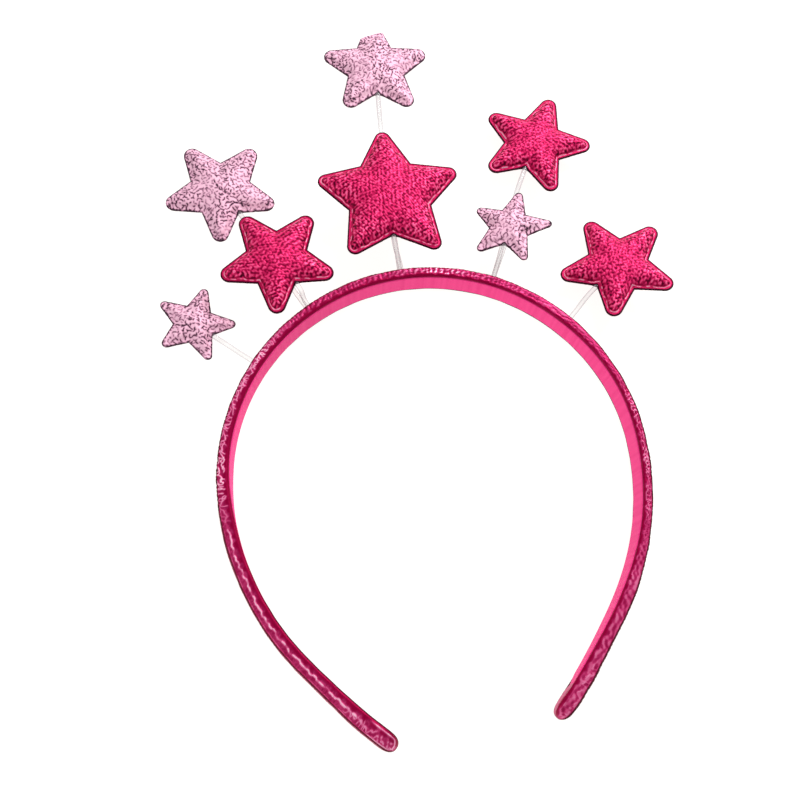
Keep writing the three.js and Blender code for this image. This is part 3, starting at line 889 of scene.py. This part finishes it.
def stuffed(size, net, slack, seed):
    """How the front and back points of a coarse star move when it is stuffed, in mm."""
    flat, faces, rim_count = net
    inset = inset_of(flat, size)
    inset[:rim_count] = 0
    start = START_SHARE * size["crown"] * np.sqrt(np.clip((inset - WELD_INSET) / START_RISE, 0, 1))
    start *= 1 + UNEVEN["by"] * crumple(flat, UNEVEN["spacing"], seed)
    points, both, back_of = two_layers(flat, faces, rim_count, start)
    mesh = bpy.data.meshes.new("stuffing")
    mesh.from_pydata((points * SIM_SCALE).tolist(), [], both.tolist())
    pad = bpy.data.objects.new("stuffing", mesh)
    bpy.context.scene.collection.objects.link(pad)
    held = pad.vertex_groups.new(name="weld")
    inset_both = np.concatenate([inset, inset[rim_count:]])
    held.add(np.flatnonzero(inset_both < WELD_INSET + HELD_MARGIN).tolist(), 1.0, "REPLACE")
    cloth = pad.modifiers.new("cloth", "CLOTH")
    cloth.settings.quality = 6
    cloth.settings.mass = 0.3
    cloth.settings.tension_stiffness = 25
    cloth.settings.compression_stiffness = 25
    cloth.settings.shear_stiffness = 10
    cloth.settings.bending_stiffness = 0.2
    cloth.settings.use_pressure = True
    cloth.settings.uniform_pressure_force = 6
    cloth.settings.shrink_min = -slack
    cloth.settings.vertex_group_mass = "weld"
    cloth.settings.effector_weights.gravity = 0
    cloth.collision_settings.use_collision = False
    for number in range(1, SIM_FRAMES + 1):
        bpy.context.scene.frame_set(number)
    shaped = pad.evaluated_get(bpy.context.evaluated_depsgraph_get())
    moved = np.zeros(len(points) * 3)
    shaped.data.vertices.foreach_get("co", moved)
    bpy.context.scene.frame_set(1)
    bpy.data.objects.remove(pad)
    moved = moved.reshape(-1, 3) / SIM_SCALE
    return moved[:len(flat)], moved[back_of]


trial_front, trial_back = stuffed(
    STAR_SIZES[TRIAL["size"]], coarse_nets[TRIAL["size"]], TRIAL["slack"], TRIAL["seed"]
)
trial_thickness = float(trial_front[:, 2].max() - trial_back[:, 2].min())
print("a stuffed medium star is", round(trial_thickness, 1), "mm thick")

# %% [markdown]
# ## Where the stars stand
# Each row places a star by its bearing from the crown, seen from the middle of the crown's arc, and by how
# far out and how high its middle lies. Its far arm points along axis, its face leans a little, and its rod
# leaves the hoop at root_angle and root_height. One star has the end of its far arm turned under, along
# a fold that passes its middle at fold's reach and slants.

# %% The stars' places
STARS = [
    {"name": "crown_low", "size": "large", "cloth": "rose", "root_angle": 0.5, "root_height": 7.6,
     "angle": 0.7, "reach": 84.6, "height": 11.5, "axis": -2.3, "lean_x": -1.5, "lean_y": 2.9,
     "arms": (-0.3, 0.3, 0.4, 0.2, -0.3)},
    {"name": "crown_high", "size": "medium", "cloth": "blush", "root_angle": 0.5, "root_height": 3,
     "angle": -0.7, "reach": 132.9, "height": 5.4, "axis": -3.9, "lean_x": -3, "lean_y": 3.4,
     "arms": (0, 0, 0.7, 0.4, -0.3),
     "fold": {"reach": 12.8, "slant": 17}},
    {"name": "left_low", "size": "medium", "cloth": "rose", "root_angle": 28.5, "root_height": 7.6,
     "angle": 28.3, "reach": 77.9, "height": 11.2, "axis": 30.1, "lean_x": -2.8, "lean_y": 1.7,
     "arms": (0.2, 0.2, 0.5, 0.3, 0)},
    {"name": "left_high", "size": "medium", "cloth": "blush", "root_angle": 28.5, "root_height": 3,
     "angle": 28.2, "reach": 109.5, "height": 5.2, "axis": 30.6, "lean_x": -1.8, "lean_y": 4.8,
     "arms": (0.2, 0.6, 0, 0.6, 0)},
    {"name": "left_side", "size": "small", "cloth": "blush", "root_angle": 50, "root_height": 5.5,
     "angle": 49.8, "reach": 83.1, "height": 6, "axis": 52.3, "lean_x": -3.4, "lean_y": 13.8,
     "arms": (0, 0.6, 0.6, 0.5, 0)},
    {"name": "right_low", "size": "small", "cloth": "blush", "root_angle": -25.5, "root_height": 7.6,
     "angle": -25.7, "reach": 78, "height": 10.4, "axis": -25, "lean_x": -7.3, "lean_y": -6,
     "arms": (0.8, 1.4, 1.1, 1.2, 0)},
    {"name": "right_high", "size": "medium", "cloth": "rose", "root_angle": -25.5, "root_height": 3,
     "angle": -25.5, "reach": 110.4, "height": 5.2, "axis": -28.4, "lean_x": -5.8, "lean_y": 0,
     "arms": (1.1, 0.6, 1.3, 0.3, 0.2)},
    {"name": "right_side", "size": "medium", "cloth": "rose", "root_angle": -49.5, "root_height": 5.5,
     "angle": -49.7, "reach": 85.4, "height": 6, "axis": -53.3, "lean_x": -7.7, "lean_y": -5.5,
     "arms": (0.5, 0.8, 0.3, 0.6, 0.6)},
]


def place_of(star):
    """The matrix that takes a star's own millimetres to the headband's."""
    bearing = math.radians(90 + star["angle"])
    middle = Vector((
        star["reach"] * math.cos(bearing),
        star["reach"] * math.sin(bearing) - CROWN_RADIUS,
        star["height"],
    ))
    lean_x = Matrix.Rotation(math.radians(star["lean_x"]), 4, "X")
    lean_y = Matrix.Rotation(math.radians(star["lean_y"]), 4, "Y")
    axis = Matrix.Rotation(math.radians(star["axis"]), 4, "Z")
    return Matrix.Translation(middle) @ lean_x @ lean_y @ axis


print("stars:", [star["name"] for star in STARS])

# %% [markdown]
# ## Marks in the stars' cloth
# The rose cloth is crumpled all over, with painted highlights on its ridges and painted shade in its hollows.
# Its weld shows as painted shade along the cut edge, a plain rim, a pale, broken painted highlight where the
# pad begins and a thin line of painted shade just inside that. The blush cloth is smoother: it has scattered
# short dashes where the film has cracked, and a few long creases, which get painted shade, as does its cut
# edge.
# Scattered strokes can't come from waves, so each one is drawn by itself.

# %% Scattered strokes
STROKE_JITTER = 0.45
STROKE_HALVES = (0.15, 0.5)
STROKE_BENDS = (-0.8, 0.8)
STROKE_STRENGTHS = (0.6, 1)
DASH = {"spacing": 1.0, "length": 1.05, "width": 0.21}
CREASE = {"spacing": 7, "length": 7, "width": 0.22}


def dashes(points, stroke, seed):
    """Short bent strokes scattered at random: up to 1 on a stroke, and 0 between strokes."""
    draw = np.random.default_rng(seed)
    reach = np.abs(points).max()
    rows = np.arange(-reach, reach, stroke["spacing"])
    middles = np.stack(np.meshgrid(rows, rows), axis=-1).reshape(-1, 2)
    middles = middles + stroke["spacing"] * draw.uniform(-STROKE_JITTER, STROKE_JITTER, middles.shape)
    shown = np.zeros(len(points))
    for middle in middles:
        angle = draw.uniform(0, math.pi)
        half = draw.uniform(*STROKE_HALVES) * stroke["length"]
        bend = draw.uniform(*STROKE_BENDS) / stroke["length"]
        strength = draw.uniform(*STROKE_STRENGTHS)
        near = np.flatnonzero(np.abs(points - middle).max(axis=1) < stroke["length"])
        beside = points[near] - middle
        ahead = beside @ (math.cos(angle), math.sin(angle))
        aside = beside @ (-math.sin(angle), math.cos(angle))
        past = np.maximum(np.abs(ahead) - half, 0)
        off = aside - bend * ahead ** 2
        ink = strength * np.exp(-(past ** 2 + off ** 2) / stroke["width"] ** 2)
        shown[near] = np.maximum(shown[near], ink)
    return shown


print("strokes on a medium star:", round((2 * STAR_SIZES["medium"]["point"] / DASH["spacing"]) ** 2))

# %% Relief and tone of the two cloths
CUT_EDGE_SHADE = {"rose": (0.32, 0.66), "blush": (0.26, 0.58)}
ROSE_FOLDS = [
    {"spacing": RIDGE_SPACING, "share": 0.65, "seed": 0},
    {"spacing": 1.4, "share": 0.35, "seed": 5},
    {"spacing": 2.6, "share": 0.3, "seed": 1},
]
ROSE_RIDGE_HIGHLIGHT = (0, 0.65)
ROSE_HOLLOW_SHADE = (0.1, 0.8)
ROSE_PATCH = {"spacing": 5, "firmness": 0.8}
ROSE_TONE = {"cloth": 0.47, "rim": 0.4, "patch": 0.04, "ridge_highlight": 0.25, "hollow_shade": 0.3}
ROSE_RELIEF = {"pad": 0.11, "rim_share": 0.2}
PAD_FROM = (1.15, 1.6)
PAINTED_CONTRAST = {"middle": 0.9, "more": 0.4, "grows": (0.25, 0.7)}
WELD_BREAKS = {"spacing": 2.2, "from": (-0.9, 0.3)}
WELD_WANDER = {"by": 0.12, "spacing": 4}
WELD_HIGHLIGHT = {"inset": 1.05, "half_width": 0.16, "pale": 0.25, "palest": 0.45}
WELD_SHADE = {"past": 0.36, "half_width": 0.18, "dark": 0.26}
BLUSH_WORM = {"spacing": 1.4, "firmness": 0.8}
BLUSH_TONE = {"cloth": 0.72, "worm": 0.05, "dash": 0.9, "crease": 0.45, "edge": 0.65}
BLUSH_RELIEF = {"worm": 0.02, "dash": 0.05, "crease": 0.1}
CROWDED = {"mean": 0.85, "by": 0.15, "spacing": 11}
EDGE_SHADE_VARIES = {"mean": 0.75, "by": 0.25, "spacing": 4}


def rose_marks(flat, inset, seed):
    """Relief in mm and tone of the rose cloth at flat points that lie inset from the cut edge."""
    worm = sum(row["share"] * crumple(flat, row["spacing"], seed + row["seed"]) for row in ROSE_FOLDS)
    # Painted highlights on the ridges of the relief and painted shade in its hollows, stronger out on the
    # arms.
    ridge_highlight = ROSE_TONE["ridge_highlight"] * ease(worm, *ROSE_RIDGE_HIGHLIGHT)
    hollow_shade = ROSE_TONE["hollow_shade"] * ease(-worm, *ROSE_HOLLOW_SHADE)
    reach = np.hypot(flat[:, 0], flat[:, 1])
    painted_contrast = PAINTED_CONTRAST["middle"] + PAINTED_CONTRAST["more"] * ease(reach / reach.max(), *PAINTED_CONTRAST["grows"])
    patch = ROSE_TONE["patch"] * crumple(flat, ROSE_PATCH["spacing"], seed + 2, ROSE_PATCH["firmness"])
    broken = ease(crumple(flat, WELD_BREAKS["spacing"], seed + 3), *WELD_BREAKS["from"])
    on_pad = ease(inset, *PAD_FROM)
    cloth = ROSE_TONE["cloth"] + patch + painted_contrast * (ridge_highlight - hollow_shade)
    tone = ROSE_TONE["rim"] + on_pad * (cloth - ROSE_TONE["rim"])
    # Along the weld, a pale broken painted highlight with a thin line of painted shade just inside it.
    wander = WELD_WANDER["by"] * crumple(flat, WELD_WANDER["spacing"], seed + 4)
    off_weld = inset - WELD_HIGHLIGHT["inset"] - wander
    tone += (WELD_HIGHLIGHT["pale"] + WELD_HIGHLIGHT["palest"] * broken) * stripe(off_weld, WELD_HIGHLIGHT["half_width"])
    tone -= WELD_SHADE["dark"] * stripe(off_weld - WELD_SHADE["past"], WELD_SHADE["half_width"])
    share = at_least(ROSE_RELIEF["rim_share"], on_pad)
    # Towards the cut edge the tone fades into painted shade.
    return ROSE_RELIEF["pad"] * worm * share, tone * ease(inset, *CUT_EDGE_SHADE["rose"])


def blush_marks(flat, inset, seed):
    """Relief in mm and tone of the blush cloth at flat points that lie inset from the cut edge."""
    worm = crumple(flat, BLUSH_WORM["spacing"], seed, BLUSH_WORM["firmness"])
    crowded = CROWDED["mean"] + CROWDED["by"] * crumple(flat, CROWDED["spacing"], seed + 1)
    dash = dashes(flat, DASH, seed + 2) * crowded
    crease = dashes(flat, CREASE, seed + 3)
    # Painted shade along the cut edge, stronger in some places than others.
    edge_shade_strength = EDGE_SHADE_VARIES["mean"] + EDGE_SHADE_VARIES["by"] * crumple(flat, EDGE_SHADE_VARIES["spacing"], seed + 4)
    edge = edge_shade_strength * (1 - ease(inset, *CUT_EDGE_SHADE["blush"]))
    tone = BLUSH_TONE["cloth"] + BLUSH_TONE["worm"] * worm - BLUSH_TONE["dash"] * dash
    # The long creases are darkened with painted shade, and so is the cut edge.
    tone = tone - BLUSH_TONE["crease"] * crease - BLUSH_TONE["edge"] * edge
    relief = BLUSH_RELIEF["worm"] * worm - BLUSH_RELIEF["dash"] * dash - BLUSH_RELIEF["crease"] * crease
    return relief, tone


test_star = coarse_nets["medium"][0]
test_inset = np.maximum(inset_of(test_star, STAR_SIZES["medium"]), 0)
test_tone = rose_marks(test_star, test_inset, 1)[1]
print("mean tone of a rose test star:", round(float(test_tone.mean()), 2))

# %% [markdown]
# ## The stars in full
# The stuffed shape is carried over to a fine star, point by point, as a mean of the nearest coarse points.
# The fine star then gets what the coarse one can't hold: the rounded rim, the weld's groove, the bulge over
# the rod, and the marks of the cloth, which stand out along the surface's normals.

# %% Carry the stuffed shape to a fine star
FINE_SPACING = 0.2
RIM_INSETS = [0, 0.06, 0.15, 0.27, 0.42, 0.6, 0.78, 0.95, 1.1, 1.25, 1.45]
RIM_HALF = 0.38
RIM_CREST = 0.3
GROOVE_AT = 1.1
ROD_RADIUS = 0.75
ROD_STOPS_AT = 0.4
ROD_BULGE = 0.55
ROD_BULGE_HALF = 0.9
ROD_BULGE_FADE = 1
NEAREST = 14
NEAREST_WIDTH = 0.9


def nearest_shares(fine, coarse):
    """For each fine point the nearest coarse points, and how much each of them counts."""
    tree = KDTree(len(coarse))
    for i, (x, y) in enumerate(coarse):
        tree.insert((x, y, 0), i)
    tree.balance()
    found = [tree.find_n((x, y, 0), NEAREST) for x, y in fine]
    index = np.array([[hit[1] for hit in hits] for hits in found])
    gap = np.array([[hit[2] for hit in hits] for hits in found])
    share = stripe(gap, NEAREST_WIDTH * COARSE_SPACING)
    return index, share / share.sum(axis=1, keepdims=True)


def rim_height(inset, groove_half):
    """Half the star's thickness along its welded rim."""
    crest = RIM_HALF * np.sqrt(np.clip(1 - (1 - inset / RIM_CREST) ** 2, 0, 1))
    fall = ease(inset, RIM_CREST, GROOVE_AT)
    return np.where(inset < RIM_CREST, crest, RIM_HALF + (groove_half - RIM_HALF) * fall)


def point_normals(points, faces):
    """Normals at points, from the faces that meet there."""
    a, b, c = (points[faces[:, i]] for i in range(3))
    face_normal = np.cross(b - a, c - a)
    total = np.zeros_like(points)
    for i in range(3):
        np.add.at(total, faces[:, i], face_normal)
    return total / np.linalg.norm(total, axis=1, keepdims=True)


fine_nets = {name: star_net(size, RIM_INSETS, FINE_SPACING) for name, size in STAR_SIZES.items()}
shares = {name: nearest_shares(fine_nets[name][0], coarse_nets[name][0]) for name in STAR_SIZES}
print("fine points in a flat star:", {name: len(net[0]) for name, net in fine_nets.items()})

# %% Stretch the arms
def stretched(points, size, arms):
    """A star's points with each arm longer by its own length, in mm, clockwise from the far arm."""
    bearing = np.arctan2(points[:, 0], points[:, 1])
    share = np.hypot(points[:, 0], points[:, 1]) / size["point"]
    moved = points.copy()
    for arm, longer in enumerate(arms):
        way = 2 * HALF_TURN * arm
        off = np.abs((bearing - way + math.pi) % (2 * math.pi) - math.pi)
        pull = longer * share ** 2 * ease(1 - off / HALF_TURN, 0, 1)
        moved[:, :2] += pull[:, None] * (math.sin(way), math.cos(way))
    return moved


print("longest stretch in mm:", max(max(star["arms"]) for star in STARS))

# %% Turn the end of an arm under
FOLD_ROUND = 0.8
FOLD_FRONT = 0.6
FOLD_BACK = 0.65
FLATTENS = {"front": (-4, 0), "back": (-11, -6)}


def turned_under(points, fold):
    """A star's points with the end of its far arm folded round and laid flat under its back."""
    slant = math.radians(fold["slant"])
    outwards = np.array([-math.sin(slant), math.cos(slant)])
    on_far_arm = np.abs(np.arctan2(points[:, 0], points[:, 1])) < HALF_TURN
    run = points[:, :2] @ outwards - (fold["reach"] - FOLD_ROUND - FOLD_FRONT)
    run = np.where(on_far_arm, run, np.minimum(run, 0))
    height = points[:, 2]
    front = height + (np.minimum(height, FOLD_FRONT) - height) * ease(run, *FLATTENS["front"])
    laid_flat = ease(run, *FLATTENS["back"]) * on_far_arm
    back = height + (np.maximum(height, -FOLD_BACK) - height) * laid_flat
    height = np.where(height > 0, front, back)
    turn = np.clip(run / FOLD_ROUND, 0, math.pi)
    past = np.maximum(run - math.pi * FOLD_ROUND, 0)
    new_run = np.where(run > 0, (FOLD_ROUND + height) * np.sin(turn) - past, run)
    new_height = np.where(run > 0, (FOLD_ROUND + height) * np.cos(turn) - FOLD_ROUND, height)
    return np.column_stack([points[:, :2] + (new_run - run)[:, None] * outwards, new_height])


print("folded star:", [star["name"] for star in STARS if "fold" in star])

# %% Dress and place each star
CLOTHS = {
    "rose": {"material": rose_foil, "slot": "rose_star", "marks": rose_marks,
             "slack": 0.0, "groove": 0.28, "rim": 1.0, "fullness": 0.8, "plump": 1.0},
    "blush": {"material": blush_foil, "slot": "blush_star", "marks": blush_marks,
              "slack": 0.02, "groove": 0.36, "rim": 0.5, "fullness": 0.74, "plump": 0.82},
}

FIRST_SEED = 100
SEED_STEP = 20
BACK_SEED = 10
SWELL_FROM = (0.75, 1.4)
CARRY_FROM = (0.7, 1.6)

for number, star in enumerate(STARS):
    seed = FIRST_SEED + SEED_STEP * number
    size = STAR_SIZES[star["size"]]
    cloth = CLOTHS[star["cloth"]]
    flat, faces, rim_count = fine_nets[star["size"]]
    index, share = shares[star["size"]]
    inset = np.maximum(inset_of(flat, size), 0)
    inset[:rim_count] = 0
    coarse_flat = coarse_nets[star["size"]][0]
    layers = stuffed(size, coarse_nets[star["size"]], cloth["slack"], seed)
    into_star = ease(-flat[:, 1], ROD_STOPS_AT * size["notch"] - ROD_BULGE_FADE, size["notch"])
    over_rod = ROD_BULGE * stripe(flat[:, 0], ROD_BULGE_HALF) * into_star * (inset > 0)
    points, both, back_of = two_layers(flat, faces, rim_count, np.zeros(len(flat)))
    relief = np.zeros(len(points))
    tone = np.zeros(len(points))
    places_in = (np.arange(len(flat)), back_of)
    for layer, way, place_in, marks_seed in zip(layers, (1, -1), places_in, (seed, seed + BACK_SEED)):
        moved = layer - np.column_stack([coarse_flat, np.zeros(len(coarse_flat))])
        carried = (moved[index] * share[..., None]).sum(axis=1)
        swell = np.maximum(way * carried[:, 2], 0)
        swell = (cloth["plump"] * size["crown"] - RIM_HALF) * (swell / swell.max()) ** cloth["fullness"]
        swell = swell * ease(inset, SWELL_FROM[0] * cloth["rim"], SWELL_FROM[1] * cloth["rim"])
        height = rim_height(inset, cloth["groove"]) + swell + over_rod
        height[:rim_count] = 0
        points[place_in, :2] = flat + carried[:, :2] * ease(inset, *CARRY_FROM)[:, None]
        points[place_in, 2] = way * height
        relief[place_in], tone[place_in] = cloth["marks"](flat, inset, marks_seed)
    points = stretched(points, size, star["arms"])
    if "fold" in star:
        points = turned_under(points, star["fold"])
    points += point_normals(points, both) * relief[:, None]
    place = np.array(place_of(star))
    placed = points @ place[:3, :3].T + place[:3, 3]
    pad = make_piece(
        f"star_{star['name']}_pad",
        placed,
        both.tolist(),
        cloth["material"],
        [f"star_{star['name']}_front", f"star_{star['name']}_back"],
        {"tone": np.clip(tone, 0, 1)},
    )

# %% [markdown]
# ## The clear rods
# A rod is straight where it leaves the hoop and where it goes in between the two layers of its star, with one
# easy bend between. A curve object with a round bevel would do, but a mesh tube exports as it is, so each rod
# is a grid of rings along a cubic curve.

# %% Bend the rods
ROD_SIDES = 32
ROD_STEP = 0.8
ROD_STRAIGHT = 1.2
ROD_BEND = 0.4
ROD_DEPTH = 0.9
FEWEST_RINGS = 8


def rod_line(star):
    """Points along a rod, from inside the hoop's cover to inside its star."""
    size = STAR_SIZES[star["size"]]
    at = -CROWN_RADIUS * math.radians(star["root_angle"])
    point, normal = hoop_at(at)
    way = Vector((*normal[0], 0))
    mouth = Vector((*point[0], star["root_height"])) + way * float(thickness_at(at) / 2)
    place = place_of(star)
    enters = place @ Vector((0, -size["notch"] - ROD_STRAIGHT, 0))
    stops = place @ Vector((0, -ROD_STOPS_AT * size["notch"], 0))
    leaves = mouth + way * ROD_STRAIGHT
    into = (stops - enters).normalized()
    pull = ROD_BEND * (enters - leaves).length
    corners = [leaves, leaves + way * pull, enters - into * pull, enters]
    count = max(FEWEST_RINGS, round((enters - leaves).length / ROD_STEP))
    line = [mouth - way * ROD_DEPTH]
    for share in np.linspace(0, 1, count):
        left = 1 - share
        weights = (left ** 3, 3 * left ** 2 * share, 3 * left * share ** 2, share ** 3)
        line.append(sum((c * w for c, w in zip(corners, weights)), Vector()))
    return np.array([*line, stops])


def tube(line, radius, sides):
    """Rings of points round a line, and their faces with a cap at either end."""
    along = np.gradient(line, axis=0)
    along /= np.linalg.norm(along, axis=1, keepdims=True)
    first = np.cross(along, (0, 0, 1))
    first /= np.linalg.norm(first, axis=1, keepdims=True)
    second = np.cross(first, along)
    turn = 2 * np.pi * np.arange(sides) / sides
    rings = line[:, None] + radius * (
        first[:, None] * np.cos(turn)[:, None] + second[:, None] * np.sin(turn)[:, None]
    )
    return rings.reshape(-1, 3), grid_faces(len(line), sides)


for star in STARS:
    rod_points, rod_faces = tube(rod_line(star), ROD_RADIUS, ROD_SIDES)
    make_piece(
        f"stem_{star['name']}_rod", rod_points, rod_faces, acrylic, [f"stem_{star['name']}"]
    )
